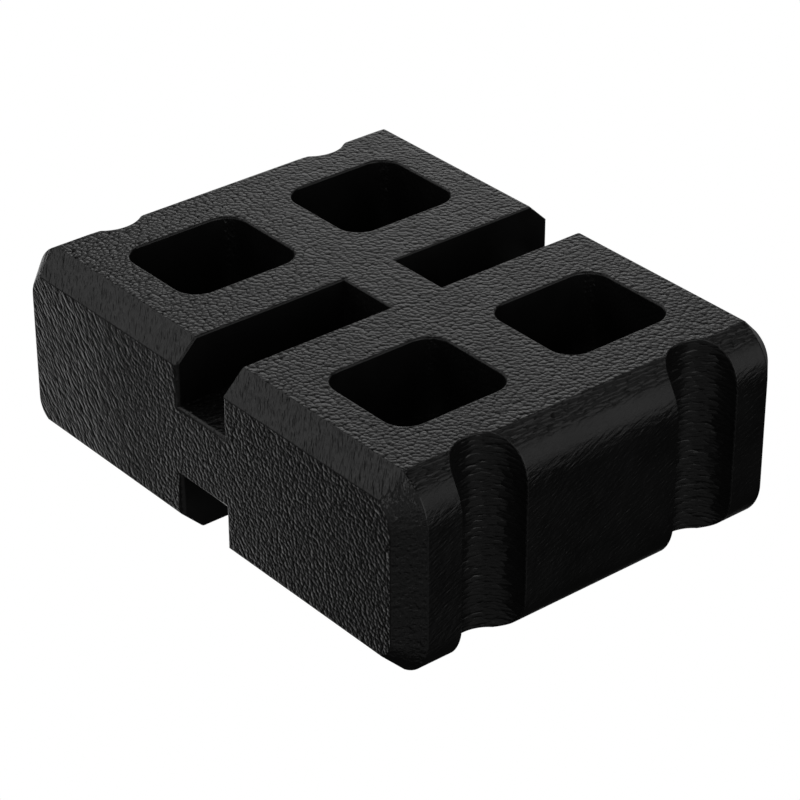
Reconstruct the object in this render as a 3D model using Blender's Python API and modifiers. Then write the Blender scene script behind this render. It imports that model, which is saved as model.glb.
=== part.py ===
"""A moulded riding block: a hollow textured skin, its foam filling and the four plugs of the moulding ports.

Frame: metres, +Z up. The origin is the middle of the bottom face. X runs along the block, towards the two
grooved ends. Y runs across it, along the slots.
"""
import math

import bmesh
import bpy

# Outside of the block
LENGTH = 0.600
WIDTH = 0.460
HEIGHT = 0.209
CHAMFER_ACROSS = 0.0238
CHAMFER_IN = 0.0231
TOP_END_RADIUS = 0.0517
TOP_END_SLOPE = 30.0
TOP_END_FLAT = 0.0094
BOTTOM_END_RADIUS = 0.0460
BOTTOM_END_SLOPE = 18.0
BOTTOM_END_FLAT = 0.0

# Pockets, four above and four below
POCKET_NEAR_X = 0.0971
POCKET_FAR_X = 0.2153
POCKET_NEAR_Y = 0.0316
POCKET_FAR_Y = 0.1664
POCKET_CORNER = 0.0246
POCKET_DEPTH = 0.0828
RIM_RADIUS = 0.0024

# Slots across the top and the bottom, with a solid web in the middle
SLOT_HALF_WIDTH = 0.0355
SLOT_DEPTH = 0.0663
SLOT_CORNER = 0.0015
WEB_HALF = 0.0313
MOUTH_RADIUS = 0.0048

# Upright grooves in the two ends
GROOVE_RADIUS = 0.0373
GROOVE_X = 0.2954
GROOVE_Y = 0.1293

# Skin, filling and plugs
WALL = 0.0055
GAP = 0.0004
FILL_PORT_RADIUS = 0.0140
VENT_PORT_RADIUS = 0.0060
FLANGE_THICKNESS = 0.0025
FLANGE_OVERHANG = 0.0035
FLANGE_EDGE = 0.0006
BARB_OVERHANG = 0.0010
BARB_LENGTH = 0.0045
PORT_OVERCUT = 0.0020

# Fineness of the round stretches
ARC_STEPS = 8
CORNER_STEPS = 5
RIM_STEPS = 2
GROOVE_SIDES = 48
PLUG_SIDES = 32
OVERSHOOT = 0.010


def clear_scene():
    for item in list(bpy.data.objects):
        bpy.data.objects.remove(item, do_unlink=True)


def new_collection(name):
    collection = bpy.data.collections.new(name)
    bpy.context.scene.collection.children.link(collection)
    return collection


def plastic(name, colour, roughness):
    material = bpy.data.materials.new(name)
    material.use_nodes = True
    shader = material.node_tree.nodes["Principled BSDF"]
    shader.inputs["Base Color"].default_value = (*colour, 1.0)
    shader.inputs["Roughness"].default_value = roughness
    shader.inputs["Metallic"].default_value = 0.0
    return material


def add_object(name, bm, collection, material=None):
    bmesh.ops.recalc_face_normals(bm, faces=bm.faces)
    mesh = bpy.data.meshes.new(name)
    bm.to_mesh(mesh)
    bm.free()
    item = bpy.data.objects.new(name, mesh)
    collection.objects.link(item)
    if material:
        mesh.materials.append(material)
        mesh.shade_smooth()
        mesh.set_sharp_from_angle(angle=math.radians(20.0))
    else:
        item.hide_render = True
        item.display_type = 'WIRE'
    return item


def cut(target, cutter):
    modifier = target.modifiers.new("cut " + cutter.name, 'BOOLEAN')
    modifier.operation = 'DIFFERENCE'
    modifier.solver = 'EXACT'
    modifier.object = cutter


def end_profile(radius, slope, flat, inset):
    """Points (distance in from the end, distance in from the face) of an end edge drawn in by inset.

    The edge is an arc that is upright where it meets the end, and then a flat that meets the face at slope.
    """
    slope = math.radians(slope)
    centre = radius * math.cos(slope) + flat * math.sin(slope)
    arc = radius - inset
    full = math.pi / 2 - slope
    last = min(full, math.asin((centre - inset) / arc))
    points = []
    for step in range(ARC_STEPS + 1):
        angle = min(full * step / ARC_STEPS, last)
        points.append((radius - arc * math.cos(angle), centre - arc * math.sin(angle)))
        if angle == last:
            break
    back, down = points[-1]
    if down > inset:
        points.append((back + (down - inset) / math.tan(slope), inset))
    return points


def block_base(inset):
    """The block without its hollows, drawn in by inset all round.

    The outline of its long side is the same all the way across, and a chamfer runs right round each long side.
    """
    bevel_shift = inset * math.tan(math.radians(22.5))
    rings = ((inset, WIDTH / 2 - CHAMFER_ACROSS - bevel_shift),
             (CHAMFER_IN + bevel_shift, WIDTH / 2 - inset))
    bm = bmesh.new()
    for drawn_in, y in rings:
        top = end_profile(TOP_END_RADIUS, TOP_END_SLOPE, TOP_END_FLAT, drawn_in)
        bottom = end_profile(BOTTOM_END_RADIUS, BOTTOM_END_SLOPE, BOTTOM_END_FLAT, drawn_in)
        outline = [(back, HEIGHT - down) for back, down in top] + bottom
        for back, z in outline:
            for sx in (-1, 1):
                for sy in (-1, 1):
                    bm.verts.new((sx * (LENGTH / 2 - back), sy * y, z))
    bmesh.ops.convex_hull(bm, input=bm.verts)
    bmesh.ops.dissolve_limit(bm, angle_limit=math.radians(0.5), verts=bm.verts, edges=bm.edges)
    return bm


def rounded_rectangle(low_x, high_x, low_y, high_y, corner, steps):
    """The outline of a rectangle with round corners, anticlockwise."""
    centres = ((high_x - corner, high_y - corner), (low_x + corner, high_y - corner),
               (low_x + corner, low_y + corner), (high_x - corner, low_y + corner))
    outline = []
    for quarter, (cx, cy) in enumerate(centres):
        for step in range(steps + 1):
            angle = math.pi / 2 * (quarter + step / steps)
            outline.append((cx + corner * math.cos(angle), cy + corner * math.sin(angle)))
    return outline


def loft(rings):
    """A closed solid through rings with the same number of points, capped at the first and the last."""
    bm = bmesh.new()
    loops = [[bm.verts.new(point) for point in ring] for ring in rings]
    for lower, upper in zip(loops, loops[1:]):
        for here in range(len(lower)):
            there = (here + 1) % len(lower)
            bm.faces.new((lower[here], lower[there], upper[there], upper[here]))
    bm.faces.new(list(reversed(loops[0])))
    bm.faces.new(loops[-1])
    return bm


def flare_levels(depth, radius):
    """Pairs (depth below the face, widening) down a hollow whose rim is rounded, deepest first."""
    levels = [(depth, 0.0)]
    if radius > 0.0:
        for step in range(RIM_STEPS + 1):
            angle = math.pi / 2 * step / RIM_STEPS
            levels.append((radius * (1.0 - math.sin(angle)), radius * (1.0 - math.cos(angle))))
        levels.append((-OVERSHOOT, radius))
    else:
        levels.append((-OVERSHOOT, 0.0))
    return levels


def hollow(low_x, high_x, low_y, high_y, corner, depth, rim, face_z, up):
    """A cutter that opens through the face at face_z, with up = 1 for the top face and -1 for the bottom."""
    rings = []
    for down, widening in flare_levels(depth, rim):
        outline = rounded_rectangle(low_x - widening, high_x + widening, low_y - widening, high_y + widening,
                                    corner + widening, CORNER_STEPS)
        rings.append([(x, y, face_z - up * down) for x, y in outline])
    return loft(rings)


def slot_mouth(side, up, face_z):
    """The cutter that rounds the edges of a slot where it opens through a long side."""
    rings = []
    for step in range(RIM_STEPS + 1):
        angle = math.pi / 2 * step / RIM_STEPS
        inward = MOUTH_RADIUS * (1.0 - math.sin(angle))
        widening = MOUTH_RADIUS * (1.0 - math.cos(angle))
        rings.append((WIDTH / 2 - inward, widening))
    rings.append((WIDTH / 2 + OVERSHOOT, MOUTH_RADIUS))
    sections = []
    for y, widening in rings:
        half = SLOT_HALF_WIDTH + widening
        floor = face_z - up * (SLOT_DEPTH + widening)
        crown = face_z + up * OVERSHOOT
        sections.append([(-half, side * y, floor), (half, side * y, floor),
                         (half, side * y, crown), (-half, side * y, crown)])
    return loft(sections)


def upright_cylinder(x, y, low_z, high_z, radius, sides):
    bm = bmesh.new()
    bmesh.ops.create_cone(bm, cap_ends=True, segments=sides, radius1=radius, radius2=radius,
                          depth=high_z - low_z)
    bmesh.ops.translate(bm, verts=bm.verts, vec=(x, y, (low_z + high_z) / 2))
    return bm


def moulded_block(name, inset, collection, cutters, material=None):
    """The block with all its pockets, slots and grooves, each surface moved inward by inset."""
    block = add_object(name, block_base(inset), collection, material)
    outer = inset == 0.0
    rim = RIM_RADIUS if outer else 0.0
    for up, level in ((1, "top"), (-1, "bottom")):
        face_z = HEIGHT if up == 1 else 0.0
        for sx in (-1, 1):
            for sy in (-1, 1):
                xs = sorted((sx * (POCKET_NEAR_X - inset), sx * (POCKET_FAR_X + inset)))
                ys = sorted((sy * (POCKET_NEAR_Y - inset), sy * (POCKET_FAR_Y + inset)))
                shape = hollow(*xs, *ys, POCKET_CORNER + inset, POCKET_DEPTH + inset, rim, face_z, up)
                cut(block, add_object(f"{name} {level} pocket {sx} {sy}", shape, cutters))
        for sy in (-1, 1):
            half = SLOT_HALF_WIDTH + inset
            ys = sorted((sy * (WEB_HALF - inset), sy * (WIDTH / 2 + OVERSHOOT)))
            shape = hollow(-half, half, *ys, SLOT_CORNER, SLOT_DEPTH + inset, rim, face_z, up)
            cut(block, add_object(f"{name} {level} slot {sy}", shape, cutters))
            if outer:
                mouth = slot_mouth(sy, up, face_z)
                cut(block, add_object(f"{name} {level} mouth {sy}", mouth, cutters))
    for sx in (-1, 1):
        for sy in (-1, 1):
            groove = upright_cylinder(sx * GROOVE_X, sy * GROOVE_Y, -OVERSHOOT, HEIGHT + OVERSHOOT,
                                      GROOVE_RADIUS + inset, GROOVE_SIDES)
            cut(block, add_object(f"{name} groove {sx} {sy}", groove, cutters))
    return block


def port_places():
    """Each moulding port: its plug's name, its position and its radius, in the roofs of the lower pockets."""
    mid_x = (POCKET_NEAR_X + POCKET_FAR_X) / 2
    mid_y = (POCKET_NEAR_Y + POCKET_FAR_Y) / 2
    return (("fill_plug", mid_x, -mid_y, FILL_PORT_RADIUS),
            ("vent_plug_1", mid_x, mid_y, VENT_PORT_RADIUS),
            ("vent_plug_2", -mid_x, mid_y, VENT_PORT_RADIUS),
            ("vent_plug_3", -mid_x, -mid_y, VENT_PORT_RADIUS))


def barb_radius(port_radius):
    return port_radius + BARB_OVERHANG


def plug_top():
    return POCKET_DEPTH + WALL + GAP + BARB_LENGTH


def port_plug(name, x, y, port_radius, collection, material):
    """A push-in plug, turned about its axis: flange below the skin, shank through it, barb above it."""
    shank = port_radius - GAP
    barb = barb_radius(port_radius)
    flange = port_radius + FLANGE_OVERHANG
    roof = POCKET_DEPTH - GAP
    inside = POCKET_DEPTH + WALL + GAP
    underside = roof - FLANGE_THICKNESS
    profile = ((0.0, plug_top()), (shank - BARB_OVERHANG, plug_top()), (barb, inside + FLANGE_EDGE),
               (barb, inside), (shank, inside), (shank, roof), (flange, roof),
               (flange, underside + FLANGE_EDGE), (flange - FLANGE_EDGE, underside), (0.0, underside))
    mesh = bpy.data.meshes.new(name)
    edges = [(here, here + 1) for here in range(len(profile) - 1)]
    mesh.from_pydata([(r, 0.0, z) for r, z in profile], edges, [])
    mesh.materials.append(material)
    plug = bpy.data.objects.new(name, mesh)
    plug.location = (x, y, 0.0)
    collection.objects.link(plug)
    turn = plug.modifiers.new("turn", 'SCREW')
    turn.angle = math.radians(360.0)
    turn.steps = PLUG_SIDES
    turn.render_steps = PLUG_SIDES
    turn.use_merge_vertices = True
    turn.merge_threshold = 0.0001
    turn.use_normal_calculate = True
    return plug


def build():
    clear_scene()
    parts = new_collection("riding_block")
    cutters = new_collection("cutters")
    skin_plastic = plastic("textured black plastic", (0.012, 0.012, 0.013), 0.48)
    foam = plastic("rigid foam", (0.62, 0.57, 0.42), 0.90)
    plug_plastic = plastic("plug plastic", (0.020, 0.020, 0.021), 0.40)

    skin = moulded_block("block_skin", 0.0, parts, cutters, skin_plastic)
    cut(skin, moulded_block("cavity", WALL, cutters, cutters))
    core = moulded_block("foam_core", WALL + GAP, parts, cutters, foam)
    for name, x, y, radius in port_places():
        port = upright_cylinder(x, y, POCKET_DEPTH - PORT_OVERCUT, POCKET_DEPTH + WALL + PORT_OVERCUT,
                                radius, PLUG_SIDES)
        cut(skin, add_object(name + " port", port, cutters))
        room = upright_cylinder(x, y, POCKET_DEPTH, plug_top() + GAP, barb_radius(radius) + GAP, PLUG_SIDES)
        cut(core, add_object(name + " room", room, cutters))
        port_plug(name, x, y, radius, parts, plug_plastic)


build()
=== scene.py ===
"""The looks of the riding block: finer edges on its skin, a pebble grain, and a plain white studio."""

import math

import bmesh
import bpy
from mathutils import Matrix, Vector


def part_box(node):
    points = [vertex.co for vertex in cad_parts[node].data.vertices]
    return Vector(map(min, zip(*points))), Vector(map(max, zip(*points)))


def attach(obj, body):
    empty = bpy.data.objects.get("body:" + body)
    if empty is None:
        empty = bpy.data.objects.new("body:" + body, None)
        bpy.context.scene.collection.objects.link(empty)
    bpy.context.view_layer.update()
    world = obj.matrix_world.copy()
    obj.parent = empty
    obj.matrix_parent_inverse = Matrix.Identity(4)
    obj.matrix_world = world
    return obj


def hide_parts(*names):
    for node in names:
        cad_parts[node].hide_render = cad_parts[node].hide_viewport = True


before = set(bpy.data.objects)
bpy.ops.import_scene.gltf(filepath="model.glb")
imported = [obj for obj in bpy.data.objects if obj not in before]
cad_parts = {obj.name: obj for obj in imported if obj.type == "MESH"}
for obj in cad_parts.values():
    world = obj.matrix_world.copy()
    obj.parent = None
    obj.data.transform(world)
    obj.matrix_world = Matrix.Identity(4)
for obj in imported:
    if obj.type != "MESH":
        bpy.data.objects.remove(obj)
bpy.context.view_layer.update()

# Sizes of the block, as in the CAD model, in metres. An end edge is (radius, slope, length of its flat)
LOW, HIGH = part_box("block_skin")
LENGTH = HIGH[0] - LOW[0]
WIDTH = HIGH[1] - LOW[1]
HEIGHT = HIGH[2] - LOW[2]
CHAMFER_ACROSS = 0.0238
CHAMFER_IN = 0.0231
TOP_END = (0.0517, math.radians(30.0), 0.0094)
BOTTOM_END = (0.0460, math.radians(18.0), 0.0)
POCKET_X = (0.0971, 0.2153)
POCKET_Y = (0.0316, 0.1664)
POCKET_CORNER = 0.0246
POCKET_DEPTH = 0.0828
SLOT_HALF_WIDTH = 0.0355
SLOT_DEPTH = 0.0663
WEB_HALF = 0.0313
GROOVE_RADIUS = 0.0373
GROOVE_X = 0.2954
GROOVE_Y = 0.1293
WALL = 0.0055
FILL_PORT_RADIUS = 0.0140
VENT_PORT_RADIUS = 0.0060
OVERSHOOT = 0.010

# Facets round each curve: (on the outside, inside the wall), and on the ports
END_STEPS = (16, 6)
CORNER_STEPS = (14, 6)
GROOVE_SIDES = (96, 32)
PORT_SIDES = 48

# Edge roundings: radii in metres, then how finely and from what angle edges are rounded and shaded
EDGE_RADIUS = 0.0010
MOUTH_RADIUS = 0.0048
RIM_RADIUS = 0.0024
LIP_RADIUS = 0.0014
ROUNDING_SEGMENTS = 4
SHARP = math.radians(35.0)
ROUNDED_ABOVE = math.radians(25.0)
GROOVE_BANDS = 30
MERGE = 0.0001
NEAR = 0.0002

# Grain: the size of each pattern and how tall it stands, in metres
TOP_PEBBLE = 0.0046
TOP_HEIGHT = 0.0014
SIDE_PEBBLE = 0.0040
WORM = 0.0036
SIDE_HEIGHT = 0.00065
STREAK = 0.0042
STREAK_HEIGHT = 0.0020
END_PEBBLE = 0.0038
END_PEBBLE_HEIGHT = 0.0017
CREASE = 0.0030
CREASE_HEIGHT = 0.0011
FOLD = 0.0037
FOLD_HEIGHT = 0.0010
FINE = 0.0011
FINE_HEIGHT = 0.00004
WARP_SIZE = 0.010
WARP = 0.003

# Grain: the way each pattern is drawn out, and how many times its width. The folds are drawn out level
# instead, by shrinking the place in X and Y
WORM_WAY = ((0.66, 0.0, -0.75), 2.2)
STREAK_WAY = ((-0.65, 0.54, 0.54), 3.5)
END_PEBBLE_WAY = ((0.0, 1.0, 0.0), 3.6)
CREASE_WAY = ((0.0, 0.95, 0.32), 3.5)
FOLD_SQUEEZE = (0.36, 0.36, 1.0)

# Where each grain lies, as (none of it, all of it): places in metres, and parts of the unit normal. The
# creases of the end face never fade below their least share as the face turns up or down
GROOVE_REACH = (GROOVE_RADIUS + 0.0008, GROOVE_RADIUS + 0.0003)
GROOVE_UPRIGHT = (0.6, 0.3)
END_REACH = (0.23, 0.26)
WORM_REACH = (-0.03, -0.20)
LEVEL_FACES = (0.93, 0.98)
SIDE_FACES = (0.93, 0.98)
CHAMFER_FACES = (0.45, 0.60)
CHAMFER_FACES_MOST = (0.92, 0.80)
END_SLOPE_FACES_X = (0.2, 0.45)
END_SLOPE_FACES_Z = (0.68, 0.78)
END_FACE_FACES_X = (0.4, 0.6)
END_FACE_FACES_Z = (0.45, 0.2)
CREASE_LEAST = 0.35

# Finishes: a wandering value is (size of its patches in metres, lowest, highest). The other pairs run from
# the bottom of the relief to its top, and sizes and heights are in metres
SKIN_GREY = (0.060, 0.0055, 0.0085)
SKIN_ROUGHNESS = (0.025, 0.28, 0.34)
PLUG_GREY = (0.010, 0.016, 0.026)
PLUG_ROUGHNESS = (0.30, 0.40)
SATIN = 0.0006
SATIN_HEIGHT = 0.00008
FOAM_CELL = 0.0015
FOAM_CELL_HEIGHT = 0.0004
FOAM_MOTTLE = (0.020, 0.0, 1.0)
FOAM_ROUGHNESS = (0.95, 0.80)
FOAM_DARK = (0.50, 0.42, 0.26, 1.0)
FOAM_LIGHT = (0.68, 0.62, 0.46, 1.0)

# Studio
STUDIO_RADIUS = 20.0
FLOOR_GAP = 0.0005
LIGHT_DISTANCE = 3.0
AIR = 0.008

# Lights: four plain levels in watts, then name, azimuth and elevation in degrees, side in metres, level
FAINT = 2.0
FILL = 5.0
KEY = 10.0
BROAD = 15.0
LIGHTS = (
    ("behind left", 140.0, 35.0, 2.2, FILL),
    ("low behind left", 140.0, 5.0, 1.3, FILL),
    ("behind", 110.0, 10.0, 2.2, FILL),
    ("high left", 180.0, 45.0, 2.2, FILL),
    ("left", 220.0, 35.0, 2.2, KEY),
    ("low left", 220.0, 5.0, 2.2, FAINT),
    ("bounce left", 180.0, -30.0, 2.2, BROAD),
    ("high right", 75.0, 55.0, 1.6, FAINT),
    ("right", 40.0, 30.0, 1.0, FAINT),
    ("low right", 40.0, 10.0, 1.0, FAINT),
    ("end fill", 0.0, 20.0, 2.2, BROAD),
    ("front", 295.0, 40.0, 1.0, FILL),
    ("low front", 310.0, 10.0, 1.0, FAINT),
    ("side fill", 270.0, 0.0, 2.2, FILL),
    ("bounce front", 310.0, -30.0, 2.2, FAINT),
    ("bounce end", 0.0, -30.0, 2.2, FAINT),
    ("bounce behind", 130.0, -30.0, 2.2, FAINT),
)

# Camera
CAMERA_PLACE = (1.99663, -1.62934, 1.61505)
CAMERA_TURN = (1.0333, 0.0016, 0.8828)
CAMERA_LENS = 138.489
CAMERA_REACH = 50.0


def end_profile(end, inset, steps):
    """Points (in from the end, in from the face) of an end edge: an arc, then a flat that meets the face."""
    radius, slope, flat = end
    centre = radius * math.cos(slope) + flat * math.sin(slope)
    arc = radius - inset
    full = math.pi / 2 - slope
    last = min(full, math.asin((centre - inset) / arc))
    points = []
    for step in range(steps + 1):
        angle = min(full * step / steps, last)
        points.append((radius - arc * math.cos(angle), centre - arc * math.sin(angle)))
        if angle == last:
            break
    back, down = points[-1]
    if down > inset:
        points.append((back + (down - inset) / math.tan(slope), inset))
    return points


def block_hull(inset, steps):
    """The block without its hollows, drawn in by inset all round."""
    bevel_shift = inset * math.tan(math.radians(22.5))
    rings = ((inset, WIDTH / 2 - CHAMFER_ACROSS - bevel_shift),
             (CHAMFER_IN + bevel_shift, WIDTH / 2 - inset))
    bm = bmesh.new()
    for drawn_in, y in rings:
        outline = [(back, HEIGHT - down) for back, down in end_profile(TOP_END, drawn_in, steps)]
        outline += end_profile(BOTTOM_END, drawn_in, steps)
        for back, z in outline:
            for sx in (-1, 1):
                for sy in (-1, 1):
                    bm.verts.new((sx * (LENGTH / 2 - back), sy * y, LOW[2] + z))
    bmesh.ops.convex_hull(bm, input=bm.verts)
    bmesh.ops.dissolve_limit(bm, angle_limit=math.radians(0.3), verts=bm.verts, edges=bm.edges)
    return bm


def add_prism(bm, outline, low_z, high_z):
    """Adds an upright closed solid over an outline of (x, y) points."""
    lower = [bm.verts.new((x, y, low_z)) for x, y in outline]
    upper = [bm.verts.new((x, y, high_z)) for x, y in outline]
    for here in range(len(outline)):
        there = (here + 1) % len(outline)
        bm.faces.new((lower[here], lower[there], upper[there], upper[here]))
    bm.faces.new(list(reversed(lower)))
    bm.faces.new(upper)


def rounded_rectangle(xs, ys, corner, steps):
    """The outline of a rectangle with round corners, anticlockwise."""
    centres = ((xs[1] - corner, ys[1] - corner), (xs[0] + corner, ys[1] - corner),
               (xs[0] + corner, ys[0] + corner), (xs[1] - corner, ys[0] + corner))
    outline = []
    for quarter, (cx, cy) in enumerate(centres):
        for step in range(steps + 1):
            angle = math.pi / 2 * (quarter + step / steps)
            outline.append((cx + corner * math.cos(angle), cy + corner * math.sin(angle)))
    return outline


def circle(x, y, radius, sides):
    """The outline of a circle, anticlockwise."""
    turns = [math.tau * side / sides for side in range(sides)]
    return [(x + radius * math.cos(turn), y + radius * math.sin(turn)) for turn in turns]


def hollows(inset, corner_steps, groove_sides):
    """All the pockets, slots and grooves as one mesh of separate closed solids."""
    bm = bmesh.new()
    for up in (1, -1):
        face_z = HEIGHT if up == 1 else 0.0
        pocket = sorted((face_z + up * OVERSHOOT, face_z - up * (POCKET_DEPTH + inset)))
        slot = sorted((face_z + up * OVERSHOOT, face_z - up * (SLOT_DEPTH + inset)))
        for sy in (-1, 1):
            for sx in (-1, 1):
                xs = sorted((sx * (POCKET_X[0] - inset), sx * (POCKET_X[1] + inset)))
                ys = sorted((sy * (POCKET_Y[0] - inset), sy * (POCKET_Y[1] + inset)))
                add_prism(bm, rounded_rectangle(xs, ys, POCKET_CORNER + inset, corner_steps), *pocket)
            half = SLOT_HALF_WIDTH + inset
            ys = sorted((sy * (WEB_HALF - inset), sy * (WIDTH / 2 + OVERSHOOT)))
            add_prism(bm, [(-half, ys[0]), (half, ys[0]), (half, ys[1]), (-half, ys[1])], *slot)
    for sx in (-1, 1):
        for sy in (-1, 1):
            add_prism(bm, circle(sx * GROOVE_X, sy * GROOVE_Y, GROOVE_RADIUS + inset, groove_sides),
                      -OVERSHOOT, HEIGHT + OVERSHOOT)
    return bm


def ports():
    """The filling port and the three vents through the roofs of the lower pockets."""
    mid_x = sum(POCKET_X) / 2
    mid_y = sum(POCKET_Y) / 2
    bm = bmesh.new()
    for x, y, radius in ((mid_x, -mid_y, FILL_PORT_RADIUS), (mid_x, mid_y, VENT_PORT_RADIUS),
                         (-mid_x, mid_y, VENT_PORT_RADIUS), (-mid_x, -mid_y, VENT_PORT_RADIUS)):
        outline = circle(x, y, radius, PORT_SIDES)
        add_prism(bm, outline, POCKET_DEPTH - WALL / 2, POCKET_DEPTH + WALL * 1.5)
    return bm


def new_object(name, bm):
    """Turns a bmesh into an object in the scene, its faces turned outwards."""
    bmesh.ops.recalc_face_normals(bm, faces=bm.faces)
    mesh = bpy.data.meshes.new(name)
    bm.to_mesh(mesh)
    bm.free()
    item = bpy.data.objects.new(name, mesh)
    bpy.context.scene.collection.objects.link(item)
    return item


def cut(target, cutter):
    """Cuts the cutter out of the target for good, and removes the cutter."""
    modifier = target.modifiers.new("cut", 'BOOLEAN')
    modifier.operation = 'DIFFERENCE'
    modifier.solver = 'EXACT'
    modifier.object = cutter
    graph = bpy.context.evaluated_depsgraph_get()
    mesh = bpy.data.meshes.new_from_object(target.evaluated_get(graph))
    target.modifiers.clear()
    target.data = mesh
    bpy.data.objects.remove(cutter)


def in_groove(point):
    """Whether a point lies on or inside one of the end grooves."""
    return math.hypot(abs(point.x) - GROOVE_X, abs(point.y) - GROOVE_Y) < GROOVE_RADIUS + NEAR


def rounding_of(edge):
    """The radius that a sharp edge gets, by where it lies."""
    middle = (edge.verts[0].co + edge.verts[1].co) / 2
    x, y, z = abs(middle.x), abs(middle.y), middle.z
    if in_groove(middle):
        return LIP_RADIUS
    on_slot = abs(x - SLOT_HALF_WIDTH) < NEAR or abs(y - WEB_HALF) < NEAR
    to_floor = min(abs(z - SLOT_DEPTH), abs(z - HEIGHT + SLOT_DEPTH))
    on_floor = x < SLOT_HALF_WIDTH + NEAR and to_floor < NEAR
    if (on_slot or on_floor) and y > WIDTH / 2 - NEAR:
        return MOUTH_RADIUS
    on_face = z < NEAR or z > HEIGHT - NEAR
    among_pockets = x < POCKET_X[1] + NEAR and y < POCKET_Y[1] + NEAR
    if on_slot and (on_face or y > WIDTH / 2 - CHAMFER_ACROSS):
        return RIM_RADIUS
    if among_pockets and on_face:
        return RIM_RADIUS
    if among_pockets or x < SLOT_HALF_WIDTH + NEAR:
        return 0.0
    return EDGE_RADIUS


def round_edges(item):
    """Weighs the sharp edges and rounds them with one bevel. The groove walls are banded first, because a
    bevel bends their long thin facets."""
    bm = bmesh.new()
    bm.from_mesh(item.data)
    bmesh.ops.triangulate(bm, faces=bm.faces)
    bmesh.ops.dissolve_limit(bm, angle_limit=math.radians(0.2), verts=bm.verts, edges=bm.edges)
    for level in range(1, GROOVE_BANDS):
        walls = [face for face in bm.faces if all(in_groove(vert.co) for vert in face.verts)]
        edges = {edge for face in walls for edge in face.edges}
        verts = {vert for face in walls for vert in face.verts}
        bmesh.ops.bisect_plane(bm, geom=walls + list(edges) + list(verts), dist=MERGE,
                               plane_co=(0, 0, HEIGHT * level / GROOVE_BANDS), plane_no=(0, 0, 1))
    weights = bm.edges.layers.float.new("bevel_weight_edge")
    for edge in bm.edges:
        if edge.is_manifold and edge.calc_face_angle() > ROUNDED_ABOVE:
            edge[weights] = rounding_of(edge) / MOUTH_RADIUS
    bm.to_mesh(item.data)
    bm.free()
    bevel = item.modifiers.new("rounded edges", 'BEVEL')
    bevel.limit_method = 'WEIGHT'
    bevel.width = MOUTH_RADIUS
    bevel.segments = ROUNDING_SEGMENTS
    bevel.use_clamp_overlap = False


def cavity():
    """The hollow inside the skin: the block drawn in by the wall, less its hollows grown by the wall."""
    inner = new_object("cavity", block_hull(WALL, END_STEPS[1]))
    cut(inner, new_object("grown hollows", hollows(WALL, CORNER_STEPS[1], GROOVE_SIDES[1])))
    return inner


def block_skin():
    """The hollow moulded skin, with its edges rounded outside."""
    item = new_object("skin", block_hull(0.0, END_STEPS[0]))
    cut(item, new_object("hollows", hollows(0.0, CORNER_STEPS[0], GROOVE_SIDES[0])))
    round_edges(item)
    cut(item, cavity())
    cut(item, new_object("ports", ports()))
    item.data.shade_smooth()
    item.data.set_sharp_from_angle(angle=SHARP)
    even = item.modifiers.new("even normals", 'WEIGHTED_NORMAL')
    even.keep_sharp = True
    return item


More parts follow.
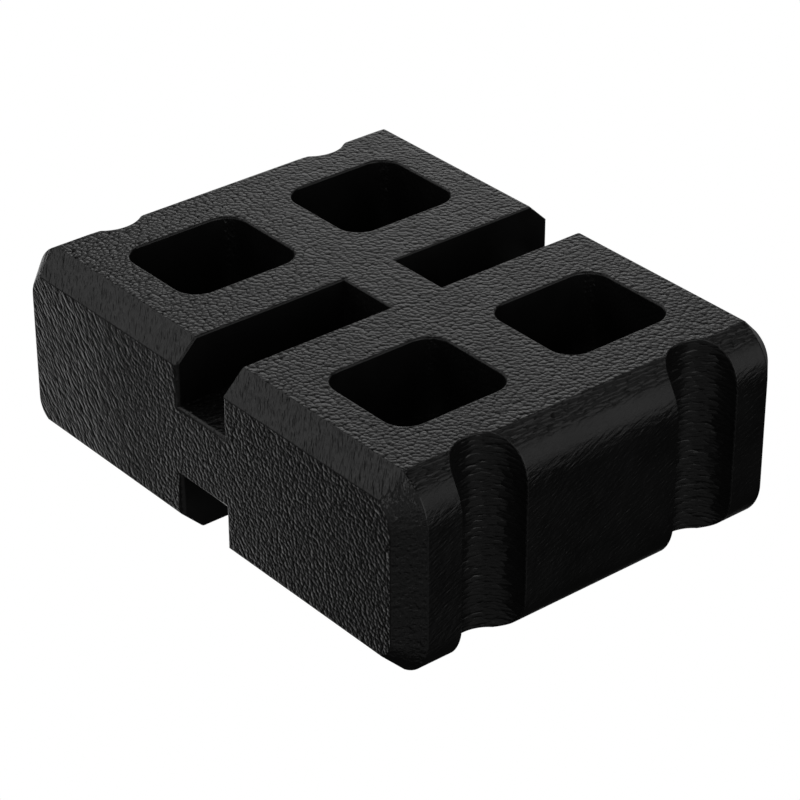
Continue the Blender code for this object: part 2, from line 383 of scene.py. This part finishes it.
class Graph:
    """A short way to write a material's nodes."""

    def __init__(self, tree):
        self.tree = tree
        tree.nodes.clear()

    def node(self, kind, **settings):
        """A new node with its settings."""
        item = self.tree.nodes.new(kind)
        for name, value in settings.items():
            setattr(item, name, value)
        return item

    def put(self, socket, value):
        """Links a socket to another, or sets it to a plain value."""
        if isinstance(value, bpy.types.NodeSocket):
            self.tree.links.new(value, socket)
        else:
            socket.default_value = value

    def math(self, operation, *values):
        """The result of a sum on single numbers."""
        item = self.node('ShaderNodeMath', operation=operation)
        for socket, value in zip(item.inputs, values):
            self.put(socket, value)
        return item.outputs[0]

    def vector(self, operation, *values):
        """The result of a sum on vectors."""
        item = self.node('ShaderNodeVectorMath', operation=operation)
        for socket, value in zip(item.inputs, values):
            self.put(socket, value)
        return item.outputs["Value" if operation == 'DOT_PRODUCT' else "Vector"]

    def scaled(self, place, factor):
        """A vector times a number."""
        item = self.node('ShaderNodeVectorMath', operation='SCALE')
        self.put(item.inputs[0], place)
        self.put(item.inputs["Scale"], factor)
        return item.outputs["Vector"]

    def axes(self, place):
        """The x, y and z of a vector."""
        item = self.node('ShaderNodeSeparateXYZ')
        self.put(item.inputs[0], place)
        return item.outputs

    def band(self, value, low, high, to_low=0.0, to_high=1.0):
        """A smooth rise from to_low to to_high as value goes from low to high."""
        item = self.node('ShaderNodeMapRange', interpolation_type='SMOOTHSTEP')
        for socket, number in zip(item.inputs, (value, low, high, to_low, to_high)):
            self.put(socket, number)
        return item.outputs[0]

    def blend(self, share, first, second):
        """First where share is 0, second where it is 1."""
        item = self.node('ShaderNodeMix', data_type='FLOAT')
        for socket, value in zip((item.inputs[0], item.inputs[2], item.inputs[3]), (share, first, second)):
            self.put(socket, value)
        return item.outputs[0]

    def noise(self, place, size, detail, output="Fac"):
        """Cloudy noise whose patches are about that size."""
        item = self.node('ShaderNodeTexNoise')
        self.put(item.inputs["Vector"], place)
        item.inputs["Scale"].default_value = 1.0 / size
        item.inputs["Detail"].default_value = detail
        return item.outputs[output]

    def domes(self, place, size):
        """Round-topped cells with creases between them, from about 0 in a crease to 1 on a top."""
        item = self.node('ShaderNodeTexVoronoi', feature='F1')
        self.put(item.inputs["Vector"], place)
        item.inputs["Scale"].default_value = 1.0 / size
        distance = item.outputs["Distance"]
        return self.math('SUBTRACT', 1.0, self.math('MULTIPLY', distance, distance))

    def wander(self, place, size, low, high):
        """A value that wanders between low and high over patches of that size."""
        return self.band(self.noise(place, size, 4.0), 0.3, 0.7, low, high)

    def grey(self, shader, tone):
        """Gives the shader a neutral base colour of that tone."""
        colour = self.node('ShaderNodeCombineColor')
        for socket in colour.inputs:
            self.put(socket, tone)
        self.put(shader.inputs["Base Color"], colour.outputs[0])

    def drawn_out(self, place, direction, times):
        """The place squeezed along a direction, so that what is drawn there comes out long that way."""
        direction = Vector(direction).normalized()
        along = self.vector('DOT_PRODUCT', place, direction)
        spare = self.scaled(direction, self.math('MULTIPLY', along, 1.0 - 1.0 / times))
        return self.vector('SUBTRACT', place, spare)


def new_material(name):
    """A material, its graph, its Principled shader and the place on the object in metres."""
    material = bpy.data.materials.new(name)
    material.use_nodes = True
    graph = Graph(material.node_tree)
    shader = graph.node('ShaderNodeBsdfPrincipled')
    output = graph.node('ShaderNodeOutputMaterial')
    graph.put(output.inputs["Surface"], shader.outputs[0])
    place = graph.node('ShaderNodeTexCoord').outputs["Object"]
    return material, graph, shader, place


def bumped(graph, shader, height, depth):
    """Gives the shader a relief whose height of 1 stands depth metres tall."""
    bump = graph.node('ShaderNodeBump')
    bump.inputs["Strength"].default_value = 1.0
    bump.inputs["Distance"].default_value = depth
    graph.put(bump.inputs["Height"], height)
    graph.put(shader.inputs["Normal"], bump.outputs[0])


def grain_regions(graph, place):
    """How much a point belongs to each region of the grain, from 0 to 1, by where it lies and faces."""
    def times(first, second):
        return graph.math('MULTIPLY', first, second)

    x, y, _ = graph.axes(graph.vector('ABSOLUTE', place))
    normal = graph.node('ShaderNodeNewGeometry').outputs["Normal"]
    faces_x, faces_y, faces_z = graph.axes(graph.vector('ABSOLUTE', normal))
    in_x = graph.math('SUBTRACT', x, GROOVE_X)
    in_y = graph.math('SUBTRACT', y, GROOVE_Y)
    from_axis = graph.math('SQRT', graph.math('ADD', times(in_x, in_x), times(in_y, in_y)))
    groove = times(graph.band(from_axis, *GROOVE_REACH), graph.band(faces_z, *GROOVE_UPRIGHT))
    outside = graph.math('SUBTRACT', 1.0, groove)
    towards_end = times(outside, graph.band(x, *END_REACH))
    slanted = times(graph.band(faces_y, *CHAMFER_FACES), graph.band(faces_y, *CHAMFER_FACES_MOST))
    end_slope = times(graph.band(faces_x, *END_SLOPE_FACES_X), graph.band(faces_z, *END_SLOPE_FACES_Z))
    upright = graph.band(faces_z, *END_FACE_FACES_Z, CREASE_LEAST)
    end_face = times(graph.band(faces_x, *END_FACE_FACES_X), upright)
    return {
        "level": graph.band(faces_z, *LEVEL_FACES),
        "side": times(outside, graph.band(faces_y, *SIDE_FACES)),
        "chamfer": times(outside, slanted),
        "end slope": times(outside, end_slope),
        "end face": times(towards_end, end_face),
        "groove": groove,
    }


def grained_plastic():
    """Black moulded plastic with a leather grain: pebbles on the flats, long wrinkles on the ends."""
    material, graph, shader, place = new_material("grained black plastic")
    regions = grain_regions(graph, place)
    swirl = graph.vector('SUBTRACT', graph.noise(place, WARP_SIZE, 1.0, "Color"), (0.5, 0.5, 0.5))
    warped = graph.vector('ADD', place, graph.scaled(swirl, WARP))
    worms = graph.domes(graph.drawn_out(warped, *WORM_WAY), WORM)
    far_half = graph.band(graph.axes(place)["X"], *WORM_REACH)
    on_side = graph.blend(far_half, graph.domes(place, SIDE_PEBBLE), worms)
    relief = (
        ("level", graph.domes(warped, TOP_PEBBLE), TOP_HEIGHT),
        ("side", on_side, SIDE_HEIGHT),
        ("chamfer", graph.noise(graph.drawn_out(place, *STREAK_WAY), STREAK, 2.0), STREAK_HEIGHT),
        ("end slope", graph.domes(graph.drawn_out(warped, *END_PEBBLE_WAY), END_PEBBLE), END_PEBBLE_HEIGHT),
        ("end face", graph.noise(graph.drawn_out(place, *CREASE_WAY), CREASE, 2.0), CREASE_HEIGHT),
        ("groove", graph.domes(graph.vector('MULTIPLY', warped, FOLD_SQUEEZE), FOLD), FOLD_HEIGHT),
    )
    height = graph.math('MULTIPLY', graph.noise(place, FINE, 1.0), FINE_HEIGHT)
    for region, shape, tall in relief:
        share = graph.math('MULTIPLY', regions[region], shape)
        height = graph.math('ADD', height, graph.math('MULTIPLY', share, tall))
    bumped(graph, shader, height, 1.0)
    graph.grey(shader, graph.wander(place, *SKIN_GREY))
    graph.put(shader.inputs["Roughness"], graph.wander(place, *SKIN_ROUGHNESS))
    return material


def plug_plastic():
    """Smooth injection-moulded black plastic with a faint satin texture."""
    material, graph, shader, place = new_material("plug plastic")
    satin = graph.noise(place, SATIN, 3.0)
    bumped(graph, shader, satin, SATIN_HEIGHT)
    graph.grey(shader, graph.wander(place, *PLUG_GREY))
    graph.put(shader.inputs["Roughness"], graph.band(satin, 0.3, 0.7, *PLUG_ROUGHNESS))
    return material


def rigid_foam():
    """Pale closed-cell foam: small burst cells over a mottled cream body."""
    material, graph, shader, place = new_material("rigid foam")
    cells = graph.domes(place, FOAM_CELL)
    bumped(graph, shader, cells, FOAM_CELL_HEIGHT)
    tones = graph.node('ShaderNodeMix', data_type='RGBA')
    graph.put(tones.inputs[0], graph.wander(place, *FOAM_MOTTLE))
    graph.put(tones.inputs[6], FOAM_DARK)
    graph.put(tones.inputs[7], FOAM_LIGHT)
    graph.put(shader.inputs["Base Color"], tones.outputs[2])
    graph.put(shader.inputs["Roughness"], graph.band(cells, 0.4, 1.0, *FOAM_ROUGHNESS))
    return material


def wear(item, material):
    """Gives an object one material in place of what it had."""
    item.data.materials.clear()
    item.data.materials.append(material)


def plain_white():
    """White that glows evenly, with no shading of its own."""
    material = bpy.data.materials.new("white studio")
    material.use_nodes = True
    graph = Graph(material.node_tree)
    glow = graph.node('ShaderNodeEmission')
    output = graph.node('ShaderNodeOutputMaterial')
    graph.put(output.inputs["Surface"], glow.outputs[0])
    return material


def white_studio():
    """A white floor and dome that only the camera sees, so they cast nothing onto the block."""
    floor = bmesh.new()
    bmesh.ops.create_grid(floor, x_segments=1, y_segments=1, size=STUDIO_RADIUS)
    bmesh.ops.translate(floor, verts=floor.verts, vec=(0, 0, LOW[2] - FLOOR_GAP))
    dome = bmesh.new()
    bmesh.ops.create_uvsphere(dome, u_segments=48, v_segments=24, radius=STUDIO_RADIUS)
    white = plain_white()
    for item in (new_object("floor", floor), new_object("backdrop", dome)):
        item.data.materials.append(white)
        item.visible_diffuse = False
        item.visible_glossy = False
        item.visible_transmission = False
        item.visible_shadow = False


def soft_light(name, azimuth, elevation, size, strength):
    """A square soft light that faces the block from a direction in degrees."""
    data = bpy.data.lights.new(name, 'AREA')
    data.shape = 'SQUARE'
    data.size = size
    data.energy = strength
    item = bpy.data.objects.new(name, data)
    turn = math.radians(azimuth)
    rise = math.radians(elevation)
    level = math.cos(rise)
    towards = Vector((level * math.cos(turn), level * math.sin(turn), math.sin(rise)))
    item.location = towards * LIGHT_DISTANCE + Vector((0, 0, HEIGHT / 2))
    item.rotation_euler = towards.to_track_quat('Z', 'Y').to_euler()
    bpy.context.scene.collection.objects.link(item)


def faint_air():
    """An even, very faint light from all round."""
    world = bpy.data.worlds.new("studio air")
    world.use_nodes = True
    air = world.node_tree.nodes["Background"]
    air.inputs["Color"].default_value = (1.0, 1.0, 1.0, 1.0)
    air.inputs["Strength"].default_value = AIR
    bpy.context.scene.world = world


def add_camera():
    """The camera, at the angle from which the block is shown."""
    camera = bpy.data.objects.new("camera", bpy.data.cameras.new("camera"))
    camera.location = CAMERA_PLACE
    camera.rotation_euler = CAMERA_TURN
    camera.data.lens = CAMERA_LENS
    camera.data.clip_end = CAMERA_REACH
    bpy.context.scene.collection.objects.link(camera)
    bpy.context.scene.camera = camera


skin = block_skin()
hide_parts("block_skin")
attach(skin, "root")
wear(skin, grained_plastic())
plug_finish = plug_plastic()
for name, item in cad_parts.items():
    if name == "foam_core":
        wear(item, rigid_foam())
    elif name != "block_skin":
        wear(item, plug_finish)

white_studio()
for light in LIGHTS:
    soft_light(*light)
faint_air()
add_camera()
bpy.context.scene.view_settings.view_transform = 'Standard'
